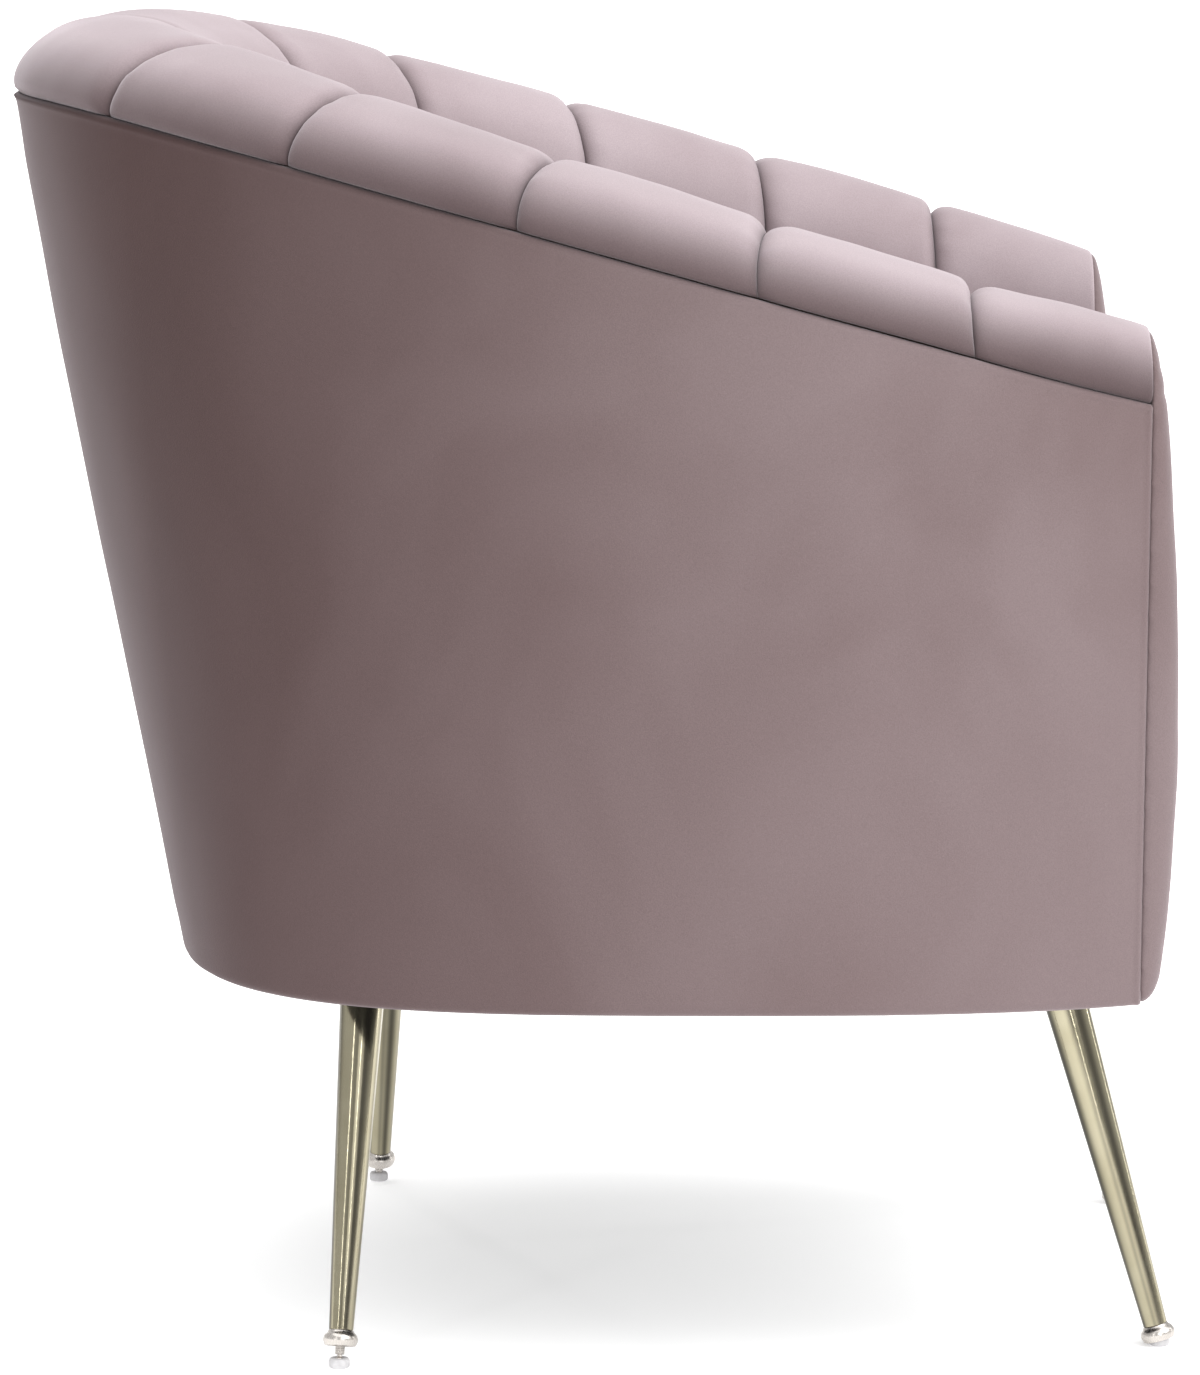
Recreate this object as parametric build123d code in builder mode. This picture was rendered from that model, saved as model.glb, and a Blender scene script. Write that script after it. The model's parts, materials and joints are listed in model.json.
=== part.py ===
"""A channel-backed tub chair: plywood frame, padded covers, and four splayed legs with screw levellers.

Millimetres. The chair faces -Y, +Z is up, and the origin is on the floor under the middle of its outline.
Every upright section of the wall lies in a plane that stands across the crest, where r runs outwards from
the crest and z is the height. A section is named by its angle, in degrees round from the middle of the back.
"""

import os
from functools import cache
from math import cos, hypot, pi, radians, sin, tan

from build123d import *

# The crest, the highest line round the wall, is half an ellipse behind the widest line and part of a
# shorter one before it.
CREST_HALF_WIDTH = 326
CREST_BACK = 273.5
WIDEST_Y = -205
BACK_REACH = CREST_BACK - WIDEST_Y
FRONT_REACH = 264
END_ANGLE = 119
SEAM_ANGLES = (0, 26.4, 45, 62.6, 78.7, 95.3, END_ANGLE)
CREST_TOP = 790
CREST_SLOPE = 0.288
CREST_BEND = 12

# The bottom edge of the shell is squarer: the back and the front of two superellipses.
BASE_HALF_WIDTH = 328
BASE_MIDDLE_Y = -60
BASE_BACK_REACH = 309
BASE_FRONT_REACH = 398
BASE_POWER = 3

# The wall, as offsets from the crest. Each has a value at the sides and what the back adds to it.
OUTER_RIM = (55, 25)
INNER_RIM = (45, 15)
INNER_RAKE = (22, 25)
RIM_DROP = 39
INNER_DROP = 50
SHELL_BOTTOM = 225.5
CHANNEL_BOTTOM = 372
COVER_THICK = 8
BOARD_THICK = 4
GAP = 1.5
FOAM_TOP = 46
FOAM_BOTTOM = 36
ROLL_FOAM = 41

# The frame
PLY = 18
RAIL_THICK = 20
BASE_BOTTOM = SHELL_BOTTOM + GAP
BASE_TOP = BASE_BOTTOM + PLY
BASE_INSET = 12
BASE_WIDTH = 112
SEAT_RING_BOTTOM = 330
SEAT_RING_TOP = SEAT_RING_BOTTOM + PLY
SEAT_RING_WIDTH = 45
RIB_FOOT = 28
RIB_SETBACK = 8
PANEL_ANGLES = (END_ANGLE - 3.6, END_ANGLE - 0.2)
RAIL_TAPER = 3
RIB_ANGLES = (-95.3, -62.6, -26.4, 0, 26.4, 62.6, 95.3)
BLOCK_SIZE = 60

# The suspension, deck and seat
WIRE_RADIUS = 1.8
SPRING_SPACING = 70
SPRINGS = 5
SPRING_HALF_WIDTH = 24
SPRING_STEP = 13
SPRING_BEND = 5
SPRING_SLANT = 0.1
CLIP_LENGTH = 14
DECK_BOTTOM = SEAT_RING_TOP + 2 * WIRE_RADIUS + 3 * GAP
CLOTH_THICK = 2
DECK_THICK = 16
CUSHION_TOP = 460
CUSHION_EDGE = 14
DUST_THICK = 1.5

# The front
FRONT_Y = -353
ARM_END_Y = WIDEST_Y + FRONT_REACH * cos(radians(END_ANGLE))
FRAME_FRONT = ARM_END_Y + 1
FACING_EDGE = 7
APRON_THICK = 12
WELT = 3.4
FACING_BACK = ARM_END_Y - WELT - GAP

# The legs. A heading is the way a leg leans, in degrees outwards from straight ahead or straight back.
LEG_SPLAY = 16.5
TUBE_TOP_RADIUS = 13.5
TUBE_END_RADIUS = 7.4
TUBE_WALL = 1.2
PLATE_RADIUS = 31
PLATE_THICK = 3
PLATE_HOLE_CIRCLE = 23
PLATE_HOLE_RADIUS = 2.2
TUBE_GAP = 4.5
SOCKET_LENGTH = 16
SOCKET_CLEARANCE = 0.66
SCREW_RADIUS = 2
SCREW_HEAD_RADIUS = 3.8
SCREW_HEAD_HEIGHT = 1.8
SCREW_LENGTH = 19
CUP_RADIUS = 10.8
CUP_HEIGHT = 9.5
CUP_RECESS = 5
CUP_RECESS_RADIUS = 8.3
CUP_LIP = 1.6
CUP_WIDEST = 3.6
CUP_SHOULDER = 6.8
CUP_SHOULDER_INSET = 1.2
PLUG_LENGTH = 26
STUD_RADIUS = 3
STUD_CLEARANCE = 0.06
STUD_LENGTH = 33
NECK_RADIUS = 1.5
BALL_RADIUS = 2.6
BALL_CLEARANCE = 0.1
NECK_LENGTH = 4
STUD_CHAMFER = 0.6
PAD_RADIUS = 6.2
PAD_HEIGHT = 6
BALL_HEIGHT = 4.5
PAD_EDGE = 0.9
PLATE_BOTTOM = SHELL_BOTTOM - GAP - PLATE_THICK

# Each leg's foot, its heading, which way it faces along Y, and how far its cup stands above the ball
LEGS = {
    "front_left": dict(foot=(202, -352), heading=18, ahead=-1, lift=-1),
    "front_right": dict(foot=(-202, -352), heading=18, ahead=-1, lift=-1),
    "rear_left": dict(foot=(266, 143), heading=79, ahead=1, lift=8.5),
    "rear_right": dict(foot=(-266, 143), heading=79, ahead=1, lift=8.5),
}

EVERY_ANGLE = sorted({sign * angle for angle in SEAM_ANGLES for sign in (-1, 1)})
STEPS_PER_CHANNEL = 2
SEARCH_FROM = (-60, 120)
HALVINGS = 30


def crest_point(angle):
    """The crest's place in plan."""
    reach = BACK_REACH if abs(angle) < 90 else FRONT_REACH
    return Vector(CREST_HALF_WIDTH * sin(radians(angle)), WIDEST_Y + reach * cos(radians(angle)))


def outward(angle):
    """The level direction across the wall: square to the crest behind its widest line, else sideways."""
    if abs(angle) >= 90:
        return Vector(1 if angle > 0 else -1, 0)
    return Vector(BACK_REACH * sin(radians(angle)), CREST_HALF_WIDTH * cos(radians(angle))).normalized()


def crest_height(angle):
    fall = CREST_SLOPE * (CREST_BACK - crest_point(angle).Y)
    return CREST_TOP - hypot(fall, CREST_BEND) + CREST_BEND


def widened(offset, angle):
    """An offset's value at this angle: its side value, plus what the back adds."""
    side, extra = offset
    return side + extra * max(0, cos(radians(angle))) ** 2


@cache
def bottom_r(angle):
    """Where a section meets the shell's bottom edge, closed in on by halving."""
    inside, outside = SEARCH_FROM
    for _ in range(HALVINGS):
        middle = (inside + outside) / 2
        place = plan_place(angle, middle)
        along = place.Y - BASE_MIDDLE_Y
        reach = BASE_BACK_REACH if along > 0 else BASE_FRONT_REACH
        if abs(place.X / BASE_HALF_WIDTH) ** BASE_POWER + abs(along / reach) ** BASE_POWER < 1:
            inside = middle
        else:
            outside = middle
    return middle


def outer_r(angle, height):
    """The outside face of the wall, from the rim down to the bottom edge."""
    rim, rim_r = crest_height(angle) - RIM_DROP, widened(OUTER_RIM, angle)
    share = (rim - height) / (rim - SHELL_BOTTOM)
    return rim_r + (bottom_r(angle) - rim_r) * share


def inner_r(angle, height):
    """The face that a sitter leans on, from just under the crest down to the deck."""
    top = crest_height(angle) - INNER_DROP
    share = (top - height) / (top - CHANNEL_BOTTOM)
    return -widened(INNER_RIM, angle) - widened(INNER_RAKE, angle) * share


def seat_r(angle):
    """The inner edge of a rib where the seat ring meets it."""
    return inner_r(angle, CHANNEL_BOTTOM) + FOAM_BOTTOM + GAP


def wall_plane(angle):
    """A section plane: its x is r, its y is the height."""
    across = outward(angle)
    return Plane(origin=crest_point(angle), x_dir=across, z_dir=Vector(across.Y, -across.X, 0))


def plan_place(angle, r):
    """A section's r as a point in plan."""
    return crest_point(angle) + outward(angle) * r


def angles_between(first, last, steps):
    return [first + (last - first) * i / steps for i in range(steps + 1)]


def wall_angles():
    """Every section from one arm's end to the other's, with each channel divided evenly."""
    found = [EVERY_ANGLE[0]]
    for first, last in zip(EVERY_ANGLE, EVERY_ANGLE[1:]):
        found += angles_between(first, last, STEPS_PER_CHANNEL)[1:]
    return found


def wall_loft(corners, angles):
    """A solid through straight-sided sections. corners(angle) gives a section's corners as (r, height)."""
    with BuildPart() as body:
        for angle in angles:
            with BuildSketch(wall_plane(angle)):
                with BuildLine():
                    Polyline(*corners(angle), close=True)
                make_face()
        loft(ruled=True)
    return body.part


def oval(r_of_angle, front_y):
    """A level outline: the wall's line at r_of_angle(angle), closed straight across at front_y."""
    wall = [plan_place(angle, r_of_angle(angle)) for angle in wall_angles()]
    line = [point for point in wall if point.Y > front_y + 0.01]
    cut = wall.index(line[0])
    first, second = wall[max(cut - 1, 0)], wall[cut]
    share = (front_y - second.Y) / (first.Y - second.Y) if cut else 0
    x = second.X + (first.X - second.X) * share
    with BuildSketch() as outline:
        with BuildLine():
            Polyline(*line, (-x, front_y), (x, front_y), close=True)
        make_face()
    return outline.sketch


def save(part, label):
    part.label = label
    export_step(part, f"parts/{label}.step")


# The frame


def base_ring():
    """The bottom plywood ring, which carries the ribs above it and the leg plates below it."""
    with BuildPart() as ring:
        with BuildSketch(Plane.XY.offset(BASE_BOTTOM)):
            add(oval(lambda a: outer_r(a, SHELL_BOTTOM) - BASE_INSET, FRAME_FRONT))
            inset = BASE_INSET + BASE_WIDTH
            inside = oval(lambda a: outer_r(a, SHELL_BOTTOM) - inset, ARM_END_Y + BASE_WIDTH)
            add(inside, mode=Mode.SUBTRACT)
            with Locations(*screw_places()):
                Circle(SCREW_RADIUS + STUD_CLEARANCE, mode=Mode.SUBTRACT)
        extrude(amount=PLY)
    return ring.part


def seat_ring():
    """The plywood ring that the springs are clipped to."""
    with BuildPart() as ring:
        with BuildSketch(Plane.XY.offset(SEAT_RING_BOTTOM)):
            add(oval(lambda a: seat_r(a) - GAP, FRAME_FRONT))
            inside = oval(lambda a: seat_r(a) - GAP - SEAT_RING_WIDTH, ARM_END_Y + SEAT_RING_WIDTH)
            add(inside, mode=Mode.SUBTRACT)
        extrude(amount=PLY)
    return ring.part


def rib_corners(angle):
    """A rib: from the base ring to the top rail, with a foot that the seat ring lies on."""
    crest = crest_height(angle)
    low, high = BASE_TOP + GAP / 3, crest - ROLL_FOAM - RAIL_THICK - 3 * GAP
    skin = COVER_THICK + BOARD_THICK + RIB_SETBACK
    shelf = SEAT_RING_BOTTOM - GAP / 3
    foam_top = -widened(INNER_RIM, angle) + FOAM_TOP + GAP
    return [
        (outer_r(angle, low) - skin, low),
        (outer_r(angle, high) - skin, high),
        (foam_top, high),
        (seat_r(angle), CHANNEL_BOTTOM),
        (seat_r(angle), shelf),
        (seat_r(angle) - RIB_FOOT, shelf),
        (seat_r(angle) - RIB_FOOT, low),
    ]


def rib(angle):
    with BuildPart() as body:
        with BuildSketch(wall_plane(angle)):
            with BuildLine():
                Polyline(*rib_corners(angle), close=True)
            make_face()
        extrude(amount=PLY / 2, both=True)
    return body.part


def arm_panel(side):
    """The plywood panel at an arm's front end."""
    return wall_loft(rib_corners, [side * angle for angle in PANEL_ANGLES])


def top_rail_corners(angle):
    top = crest_height(angle) - ROLL_FOAM - GAP / 2
    bottom = top - RAIL_THICK
    inside = -widened(INNER_RIM, angle) + FOAM_TOP + GAP
    outside = widened(OUTER_RIM, angle) - COVER_THICK - BOARD_THICK - 3 * GAP
    return [(inside, top), (outside, top), (outside - RAIL_TAPER, bottom), (inside, bottom)]


def front_board():
    """The board under the front of the seat, between the two arm panels."""
    half_width = plan_place(END_ANGLE, seat_r(END_ANGLE) - RIB_FOOT).X - GAP
    height = SEAT_RING_BOTTOM - BASE_TOP - GAP
    with BuildPart() as board:
        with BuildSketch(Plane.XY.offset(BASE_TOP + GAP / 2)):
            with Locations((0, FRAME_FRONT + PLY / 2)):
                Rectangle(2 * half_width, PLY)
        extrude(amount=height)
    return board.part


def leg_top(leg):
    """Where a leg's axis meets the underside of its plate."""
    lean = tan(radians(LEG_SPLAY)) * (PLATE_BOTTOM - BALL_HEIGHT)
    side = 1 if leg["foot"][0] > 0 else -1
    x = leg["foot"][0] - side * lean * sin(radians(leg["heading"]))
    y = leg["foot"][1] - leg["ahead"] * lean * cos(radians(leg["heading"]))
    return Vector(x, y, PLATE_BOTTOM)


def screw_places():
    """Every leg plate's four screws, in plan."""
    corners = [PLATE_HOLE_CIRCLE * sin(pi / 4) * sign for sign in (-1, 1)]
    tops = [leg_top(leg) for leg in LEGS.values()]
    return [(top.X + dx, top.Y + dy) for top in tops for dx in corners for dy in corners]


def leg_blocks():
    """Four hardwood blocks between the two rings, one over each leg."""
    with BuildPart() as blocks:
        with BuildSketch(Plane.XY.offset(BASE_TOP + GAP / 3)):
            for leg in LEGS.values():
                top = leg_top(leg)
                with Locations((top.X, top.Y - leg["ahead"] * BLOCK_SIZE / 4)):
                    Rectangle(BLOCK_SIZE, BLOCK_SIZE)
        extrude(amount=SEAT_RING_BOTTOM - BASE_TOP - 2 * GAP / 3)
    return blocks.part


# The seat's suspension and deck


def spring_ends(x):
    """Where a spring is clipped: on the front bar of the seat ring, and on the ring behind it."""
    front = ARM_END_Y + SEAT_RING_WIDTH / 2
    inner = [plan_place(a, seat_r(a) - GAP - SEAT_RING_WIDTH / 2) for a in angles_between(-60, 60, 60)]
    back = min(inner, key=lambda point: abs(point.X - x)).Y
    return front, back


def spring_places():
    """Each spring's place across the seat."""
    return [SPRING_SPACING * (i - (SPRINGS - 1) / 2) for i in range(SPRINGS)]


def seat_springs():
    """Five sinuous springs, each a zigzag wire with rounded turns, side by side across the ring."""
    height = SEAT_RING_TOP + WIRE_RADIUS + GAP / 2
    with BuildPart() as springs:
        for x in spring_places():
            front, back = spring_ends(x)
            turns = int((back - front) / SPRING_STEP)
            step = (back - front) / turns
            corners = [(x, front, height)]
            for i in range(turns):
                side = SPRING_HALF_WIDTH if i % 2 else -SPRING_HALF_WIDTH
                for share in (i + SPRING_SLANT, i + 1 - SPRING_SLANT):
                    corners.append((x + side, front + step * share, height))
            corners.append((x, back, height))
            with BuildLine() as wire:
                FilletPolyline(*corners, radius=SPRING_BEND)
            with BuildSketch(Plane(origin=wire.line @ 0, z_dir=wire.line % 0)):
                Circle(WIRE_RADIUS)
            sweep(path=wire.line)
    return springs.part


def spring_clips():
    """The steel clips that hold the springs' ends down."""
    height = 2 * WIRE_RADIUS + 2.5 * GAP
    with BuildPart() as clips:
        with BuildSketch(Plane.XY.offset(SEAT_RING_TOP)):
            for x in spring_places():
                front, back = spring_ends(x)
                reach = CLIP_LENGTH / 2 + 2 * GAP
                with Locations((x, front - reach), (x, back + reach)):
                    Rectangle(CLIP_LENGTH, CLIP_LENGTH)
        extrude(amount=height)
    return clips.part


def deck_layer(bottom, thick):
    """A level sheet or pad inside the channels' feet."""
    with BuildPart() as layer:
        with BuildSketch(Plane.XY.offset(bottom)):
            add(oval(lambda a: inner_r(a, CHANNEL_BOTTOM) - 2 * GAP, ARM_END_Y + GAP))
        extrude(amount=thick)
    return layer.part


def dust_cover():
    with BuildPart() as cloth:
        with BuildSketch(Plane.XY.offset(SHELL_BOTTOM - DUST_THICK + GAP / 3)):
            add(oval(lambda a: outer_r(a, SHELL_BOTTOM) - COVER_THICK - GAP, FRAME_FRONT))
            with Locations(*screw_places()):
                Circle(PLATE_HOLE_RADIUS, mode=Mode.SUBTRACT)
        extrude(amount=DUST_THICK)
    return cloth.part


# The outside of the wall


def cover_corners(angle):
    top = crest_height(angle) - RIM_DROP - WELT - GAP / 2
    low, high = outer_r(angle, SHELL_BOTTOM), outer_r(angle, top)
    return [(low, SHELL_BOTTOM), (high, top), (high - COVER_THICK, top), (low - COVER_THICK, SHELL_BOTTOM)]


def board_corners(angle):
    top = crest_height(angle) - RIM_DROP - 4 * GAP
    bottom = BASE_TOP + GAP
    skin = COVER_THICK + GAP / 2
    low, high = outer_r(angle, bottom) - skin, outer_r(angle, top) - skin
    return [(low, bottom), (high, top), (high - BOARD_THICK, top), (low - BOARD_THICK, bottom)]


def welt_corners(angle):
    """The folded edge that closes the outside cover against the channels."""
    top = crest_height(angle) - RIM_DROP - GAP / 2
    edge = outer_r(angle, top)
    return [(edge - WELT, top - WELT), (edge, top - WELT), (edge, top), (edge - WELT, top)]


# The channels, facings, apron and cushion


def channel_section(angle):
    """An upturned hook of foam: up the inside of the wall, over the top rail and down to the rim."""
    crest = crest_height(angle)
    outer, inner = widened(OUTER_RIM, angle), widened(INNER_RIM, angle)
    foot = inner_r(angle, CHANNEL_BOTTOM)
    rail_top = crest - ROLL_FOAM
    rail_inside = -inner + FOAM_TOP
    with BuildSketch(wall_plane(angle)) as section:
        with BuildLine():
            Line((foot, CHANNEL_BOTTOM), (-inner, crest - INNER_DROP))
            EllipticalCenterArc((0, crest - INNER_DROP), inner, INNER_DROP, 90, arc_size=90)
            EllipticalCenterArc((0, crest - RIM_DROP), outer, RIM_DROP, 0, arc_size=90)
            Polyline(
                (outer, crest - RIM_DROP),
                (outer - COVER_THICK - BOARD_THICK, rail_top),
                (rail_inside, rail_top),
                (foot + FOAM_BOTTOM, CHANNEL_BOTTOM),
                (foot, CHANNEL_BOTTOM),
            )
        make_face()
    return section.sketch


def channel(first, last):
    with BuildPart() as body:
        for angle in angles_between(first, last, STEPS_PER_CHANNEL):
            add(channel_section(angle))
        loft(ruled=True)
    return body.part


def arm_facing(side):
    """The padded front of an arm: the wall's whole section, carried forward and rounded."""
    angle = side * END_ANGLE
    crest = crest_height(angle)
    outer, inner = widened(OUTER_RIM, angle), widened(INNER_RIM, angle)
    foot = inner_r(angle, CHANNEL_BOTTOM)
    plane = Plane(origin=(crest_point(angle).X, FACING_BACK, 0), x_dir=outward(angle), z_dir=(0, -side, 0))
    with BuildPart() as facing:
        with BuildSketch(plane):
            with BuildLine():
                Line((outer_r(angle, SHELL_BOTTOM), SHELL_BOTTOM), (outer, crest - RIM_DROP))
                EllipticalCenterArc((0, crest - RIM_DROP), outer, RIM_DROP, 0, arc_size=90)
                EllipticalCenterArc((0, crest - INNER_DROP), inner, INNER_DROP, 90, arc_size=90)
                Polyline(
                    (-inner, crest - INNER_DROP),
                    (foot, CHANNEL_BOTTOM),
                    (foot, SHELL_BOTTOM),
                    (outer_r(angle, SHELL_BOTTOM), SHELL_BOTTOM),
                )
            make_face()
        extrude(amount=side * (FACING_BACK - FRONT_Y))
        front = facing.faces().sort_by(Axis.Y)[0]
        chamfer(front.edges(), length=FACING_EDGE)
    return facing.part


def seat_half_width():
    """From the middle to the inner edge of an arm's facing, at the deck."""
    return plan_place(END_ANGLE, inner_r(END_ANGLE, CHANNEL_BOTTOM)).X


def apron():
    """The padded front under the cushion, between the facings."""
    half_width = seat_half_width() - GAP / 2
    with BuildPart() as pad:
        with BuildSketch(Plane.XY.offset(SHELL_BOTTOM)):
            with Locations((0, FACING_BACK - APRON_THICK / 2)):
                Rectangle(2 * half_width, APRON_THICK)
        extrude(amount=CHANNEL_BOTTOM - SHELL_BOTTOM)
        edges = pad.faces().sort_by(Axis.Y)[0].edges().filter_by(Axis.X)
        chamfer(edges, length=APRON_THICK / 3)
    return pad.part


def seat_cushion():
    """The loose cushion: as wide as the channels leave room for, and flush with the facings in front."""
    bottom = DECK_BOTTOM + CLOTH_THICK + DECK_THICK + 2 * GAP
    levels = ((bottom, 0), (CUSHION_TOP - CUSHION_EDGE, 0), (CUSHION_TOP, CUSHION_EDGE))
    with BuildPart() as cushion:
        for height, inset in levels:
            with BuildSketch(Plane.XY.offset(height)):
                add(oval(lambda a: inner_r(a, height) - 2 * GAP - inset, FRONT_Y + GAP + inset))
        loft(ruled=True)
    return cushion.part


def edge_welt():
    """The folded edge round the rim, and one down the front edge of each side."""
    with BuildPart() as welt:
        add(wall_loft(welt_corners, wall_angles()))
        for side in (-1, 1):
            add(front_welt(side))
    return welt.part


def front_welt(side):
    angle = side * END_ANGLE
    top = crest_height(angle) - RIM_DROP - GAP / 2
    low, high = outer_r(angle, SHELL_BOTTOM), outer_r(angle, top)
    inner, outer = -WELT / 2, WELT / 4
    edge = [
        (low + inner, SHELL_BOTTOM),
        (high + inner, top),
        (high + outer, top),
        (low + outer, SHELL_BOTTOM),
    ]
    origin = (crest_point(angle).X, ARM_END_Y - GAP / 2, 0)
    plane = Plane(origin=origin, x_dir=outward(angle), z_dir=(0, -side, 0))
    with BuildPart() as strip:
        with BuildSketch(plane):
            with BuildLine():
                Polyline(*edge, close=True)
            make_face()
        extrude(amount=side * WELT)
    return strip.part


# The legs


def leg_plane(leg):
    """A plane across a leg's axis through the ball of its pad, with its z up the leg."""
    foot = Vector(*leg["foot"], BALL_HEIGHT)
    return Plane(origin=foot, z_dir=leg_top(leg) - foot)


def leg_plate(leg):
    """A round plate with four screw holes, and a slanted socket that the tube is pushed on to."""
    top = leg_top(leg)
    axis_plane = leg_plane(leg)
    length = (top - axis_plane.origin).length
    socket_radius = TUBE_TOP_RADIUS - TUBE_WALL - SOCKET_CLEARANCE
    with BuildPart() as plate:
        with BuildSketch(Plane.XY.offset(PLATE_BOTTOM)):
            with Locations((top.X, top.Y)):
                Circle(PLATE_RADIUS)
                with PolarLocations(PLATE_HOLE_CIRCLE, 4, start_angle=45):
                    Circle(PLATE_HOLE_RADIUS, mode=Mode.SUBTRACT)
        extrude(amount=PLATE_THICK)
        with BuildSketch(axis_plane.offset(length - TUBE_GAP)):
            Circle(TUBE_TOP_RADIUS)
        extrude(amount=TUBE_TOP_RADIUS)
        with BuildSketch(axis_plane.offset(length - TUBE_GAP - SOCKET_LENGTH)):
            Circle(socket_radius)
        extrude(amount=SOCKET_LENGTH)
        split(bisect_by=Plane.XY.offset(PLATE_BOTTOM + PLATE_THICK), keep=Keep.BOTTOM)
    return plate.part


def leg_tube(leg):
    plane = leg_plane(leg)
    bottom = leg["lift"] + CUP_HEIGHT
    top = (leg_top(leg) - plane.origin).length - TUBE_GAP
    with BuildPart() as tube:
        for shrink, mode in ((0, Mode.ADD), (TUBE_WALL, Mode.SUBTRACT)):
            with BuildSketch(plane.offset(bottom)):
                Circle(TUBE_END_RADIUS - shrink)
            with BuildSketch(plane.offset(top)):
                Circle(TUBE_TOP_RADIUS - shrink)
            loft(mode=mode)
    return tube.part


def foot_cup(leg):
    """The flared cap on a tube's end, with a recess for the pad and a threaded plug up the tube."""
    plane = leg_plane(leg).offset(leg["lift"])
    across = Plane(origin=plane.origin, x_dir=plane.x_dir, z_dir=plane.y_dir)
    bore = STUD_RADIUS + STUD_CLEARANCE
    plug = TUBE_END_RADIUS - TUBE_WALL - STUD_CLEARANCE
    lip, shoulder = (CUP_RADIUS - CUP_LIP, 0), (CUP_RADIUS - CUP_SHOULDER_INSET, -CUP_SHOULDER)
    with BuildPart() as cup:
        with BuildSketch(across):
            with BuildLine():
                Polyline(
                    (bore, -CUP_RECESS),
                    (CUP_RECESS_RADIUS, -CUP_RECESS),
                    (CUP_RECESS_RADIUS, 0),
                    lip,
                )
                ThreePointArc(lip, (CUP_RADIUS, -CUP_WIDEST), shoulder)
                Polyline(
                    shoulder,
                    (TUBE_END_RADIUS, -CUP_HEIGHT),
                    (plug, -CUP_HEIGHT),
                    (plug, -CUP_HEIGHT - PLUG_LENGTH),
                    (bore, -CUP_HEIGHT - PLUG_LENGTH),
                    (bore, -CUP_RECESS),
                )
            make_face()
        revolve(axis=Axis(plane.origin, plane.z_dir))
    return cup.part


def leveller_stud(leg):
    """The levelling screw: a threaded shank with a ball on its lower end."""
    plane = leg_plane(leg)
    with BuildPart() as stud:
        with Locations(plane):
            Sphere(BALL_RADIUS)
        with BuildSketch(plane):
            Circle(NECK_RADIUS)
        extrude(amount=NECK_LENGTH)
        with BuildSketch(plane.offset(NECK_LENGTH)):
            Circle(STUD_RADIUS)
        extrude(amount=STUD_LENGTH)
        chamfer(stud.faces().sort_by(Axis(plane.origin, plane.z_dir))[-1].edges(), length=STUD_CHAMFER)
    return stud.part


def leveller_pad(leg):
    """The glide under the screw, with a socket that lets it lie flat on the floor."""
    x, y = leg["foot"]
    with BuildPart() as pad:
        with BuildSketch(Plane.XY):
            with Locations((x, y)):
                Circle(PAD_RADIUS)
        extrude(amount=PAD_HEIGHT)
        chamfer(pad.edges().filter_by(GeomType.CIRCLE), length=PAD_EDGE)
        with Locations((x, y, BALL_HEIGHT)):
            Sphere(BALL_RADIUS + BALL_CLEARANCE, mode=Mode.SUBTRACT)
    return pad.part


def plate_screws():
    """The wood screws that hold the four leg plates to the base ring."""
    with BuildPart() as screws:
        with BuildSketch(Plane.XY.offset(PLATE_BOTTOM - SCREW_HEAD_HEIGHT)):
            with Locations(*screw_places()):
                Circle(SCREW_HEAD_RADIUS)
        extrude(amount=SCREW_HEAD_HEIGHT)
        with BuildSketch(Plane.XY.offset(PLATE_BOTTOM)):
            with Locations(*screw_places()):
                Circle(SCREW_RADIUS)
        extrude(amount=SCREW_LENGTH)
    return screws.part


def main():
    os.makedirs("parts", exist_ok=True)
    save(base_ring(), "base_ring")
    save(seat_ring(), "seat_ring")
    save(front_board(), "front_board")
    save(arm_panel(1), "arm_panel_left")
    save(arm_panel(-1), "arm_panel_right")
    for number, angle in enumerate(RIB_ANGLES, 1):
        save(rib(angle), f"wall_rib_{number}")
    save(wall_loft(top_rail_corners, wall_angles()), "top_rail")
    save(leg_blocks(), "leg_blocks")
    save(seat_springs(), "seat_springs")
    save(spring_clips(), "spring_clips")
    save(deck_layer(DECK_BOTTOM, CLOTH_THICK), "deck_cloth")
    save(deck_layer(DECK_BOTTOM + CLOTH_THICK + GAP / 2, DECK_THICK), "deck_pad")
    save(dust_cover(), "dust_cover")
    save(wall_loft(board_corners, wall_angles()), "shell_board")
    save(wall_loft(cover_corners, wall_angles()), "outside_cover")
    save(edge_welt(), "edge_welt")
    for number, (first, last) in enumerate(zip(EVERY_ANGLE, EVERY_ANGLE[1:]), 1):
        save(channel(first, last), f"channel_{number:02d}")
    save(arm_facing(1), "arm_facing_left")
    save(arm_facing(-1), "arm_facing_right")
    save(apron(), "front_apron")
    save(seat_cushion(), "seat_cushion")
    for name, leg in LEGS.items():
        save(leg_plate(leg), f"leg_plate_{name}")
        save(leg_tube(leg), f"leg_tube_{name}")
        save(foot_cup(leg), f"foot_cup_{name}")
        save(leveller_stud(leg), f"leveller_stud_{name}")
        save(leveller_pad(leg), f"leveller_pad_{name}")
    save(plate_screws(), "plate_screws")


main()
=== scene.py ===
"""The looks of the channel-backed tub chair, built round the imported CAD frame.

The wall's shape is worked out in millimetres, by the same formulas as the CAD source. Meshes are in
metres.
"""

import json
import math

import bmesh
import bpy
import numpy as np
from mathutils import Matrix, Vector, noise

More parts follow.
